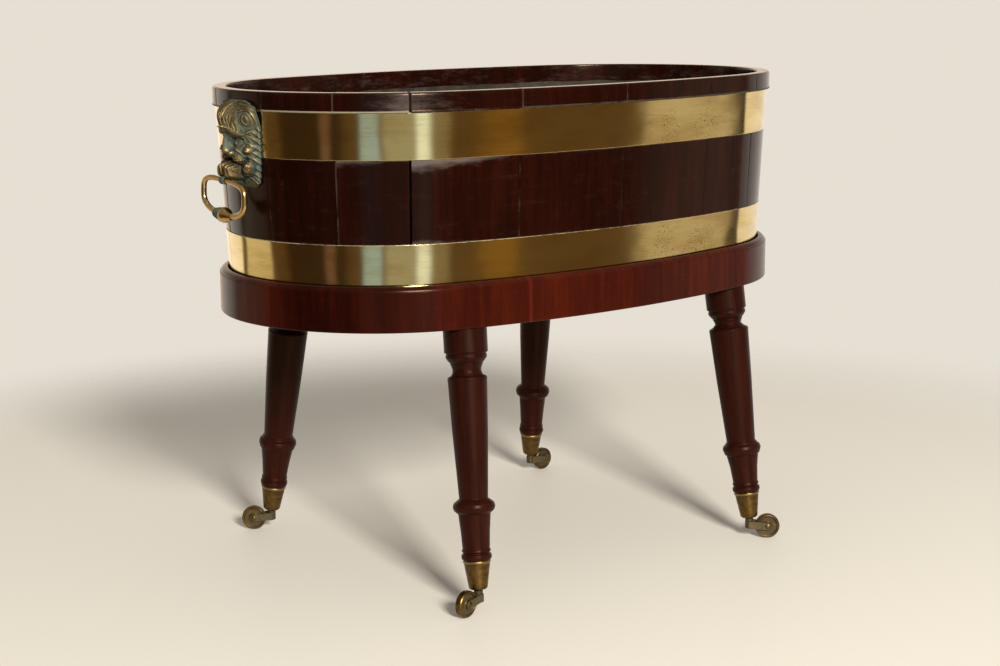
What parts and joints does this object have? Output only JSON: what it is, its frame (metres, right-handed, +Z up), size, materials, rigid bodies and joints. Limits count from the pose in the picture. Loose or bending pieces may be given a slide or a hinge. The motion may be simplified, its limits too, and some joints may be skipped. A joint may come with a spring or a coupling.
{
  "type": "cellarette",
  "caption": "Oval coopered wine cooler with brass bands, lion mask ring handles and lead lining, lifting out of an oval stand on splayed turned legs with brass castors.",
  "frame": {"origin": "on the floor, under the middle of the oval", "axes": "+Z up, X along the oval's length with the right ring handle at +X, and the front towards -Y"},
  "size_m": [0.737, 0.4354, 0.523],
  "materials": {
    "tub_mahogany": "polished dark mahogany with vertical grain",
    "stand_mahogany": "polished red mahogany",
    "hidden_wood": "plain sawn secondary wood",
    "band_brass": "aged polished sheet brass",
    "castor_brass": "dull tarnished cast brass",
    "mask_brass": "cast brass with grey green tarnish in the hollows",
    "ring_brass": "worn bright cast brass",
    "lead": "dull oxidised lead sheet"
  },
  "bodies": {
    "stand": {"front_rail": "stand_mahogany", "back_rail": "stand_mahogany", "left_end_rail": "stand_mahogany", "right_end_rail": "stand_mahogany", "front_left_corner_block": "hidden_wood", "front_right_corner_block": "hidden_wood", "back_left_corner_block": "hidden_wood", "back_right_corner_block": "hidden_wood", "front_left_leg": "stand_mahogany", "front_right_leg": "stand_mahogany", "back_left_leg": "stand_mahogany", "back_right_leg": "stand_mahogany", "front_left_castor_cup": "castor_brass", "front_right_castor_cup": "castor_brass", "back_left_castor_cup": "castor_brass", "back_right_castor_cup": "castor_brass"},
    "tub": {"stave_01": "tub_mahogany", "stave_02": "tub_mahogany", "stave_03": "tub_mahogany", "stave_04": "tub_mahogany", "stave_05": "tub_mahogany", "stave_06": "tub_mahogany", "stave_07": "tub_mahogany", "stave_08": "tub_mahogany", "stave_09": "tub_mahogany", "stave_10": "tub_mahogany", "stave_11": "tub_mahogany", "stave_12": "tub_mahogany", "stave_13": "tub_mahogany", "stave_14": "tub_mahogany", "stave_15": "tub_mahogany", "stave_16": "tub_mahogany", "stave_17": "tub_mahogany", "lower_band": "band_brass", "upper_band": "band_brass", "bottom_board_1": "hidden_wood", "bottom_board_2": "hidden_wood", "bottom_board_3": "hidden_wood", "lead_liner": "lead", "left_lion_mask": "mask_brass", "right_lion_mask": "mask_brass"},
    "left_ring": {"left_ring_handle": "ring_brass"},
    "right_ring": {"right_ring_handle": "ring_brass"},
    "front_left_castor": {"front_left_castor_fork": "castor_brass", "front_left_castor_axle": "castor_brass"},
    "front_right_castor": {"front_right_castor_fork": "castor_brass", "front_right_castor_axle": "castor_brass"},
    "back_left_castor": {"back_left_castor_fork": "castor_brass", "back_left_castor_axle": "castor_brass"},
    "back_right_castor": {"back_right_castor_fork": "castor_brass", "back_right_castor_axle": "castor_brass"},
    "front_left_wheel": {"front_left_castor_wheel": "castor_brass"},
    "front_right_wheel": {"front_right_castor_wheel": "castor_brass"},
    "back_left_wheel": {"back_left_castor_wheel": "castor_brass"},
    "back_right_wheel": {"back_right_castor_wheel": "castor_brass"}
  },
  "joints": [
    {"name": "tub_lift", "type": "slide", "parent": "stand", "child": "tub", "axis": [0, 0, 1], "range_m": [0, 0.2]},
    {"name": "left_ring_swing", "type": "hinge", "parent": "tub", "child": "left_ring", "pos_m": [-0.36047, 0, 0.4349], "axis": [0, 1, 0], "range_deg": [-20, 105]},
    {"name": "right_ring_swing", "type": "hinge", "parent": "tub", "child": "right_ring", "pos_m": [0.36047, 0, 0.4349], "axis": [0, -1, 0], "range_deg": [-20, 105]},
    {"name": "front_left_swivel", "type": "hinge", "parent": "stand", "child": "front_left_castor", "pos_m": [-0.1971, -0.19376, 0.0241], "axis": [0, 0, 1], "continuous": true},
    {"name": "front_right_swivel", "type": "hinge", "parent": "stand", "child": "front_right_castor", "pos_m": [0.1971, -0.19376, 0.0241], "axis": [0, 0, 1], "continuous": true},
    {"name": "back_left_swivel", "type": "hinge", "parent": "stand", "child": "back_left_castor", "pos_m": [-0.1971, 0.19376, 0.0241], "axis": [0, 0, 1], "continuous": true},
    {"name": "back_right_swivel", "type": "hinge", "parent": "stand", "child": "back_right_castor", "pos_m": [0.1971, 0.19376, 0.0241], "axis": [0, 0, 1], "continuous": true},
    {"name": "front_left_wheel_spin", "type": "hinge", "parent": "front_left_castor", "child": "front_left_wheel", "pos_m": [-0.21709, -0.19874, 0.0139], "axis": [0.2419, -0.9703, 0], "continuous": true},
    {"name": "front_right_wheel_spin", "type": "hinge", "parent": "front_right_castor", "child": "front_right_wheel", "pos_m": [0.21311, -0.20672, 0.0139], "axis": [0.6293, 0.7771, 0], "continuous": true},
    {"name": "back_left_wheel_spin", "type": "hinge", "parent": "back_left_castor", "child": "back_left_wheel", "pos_m": [-0.21311, 0.20672, 0.0139], "axis": [-0.6293, -0.7771, 0], "continuous": true},
    {"name": "back_right_wheel_spin", "type": "hinge", "parent": "back_right_castor", "child": "back_right_wheel", "pos_m": [0.21767, 0.19484, 0.0139], "axis": [-0.0523, 0.9986, 0], "continuous": true}
  ]
}
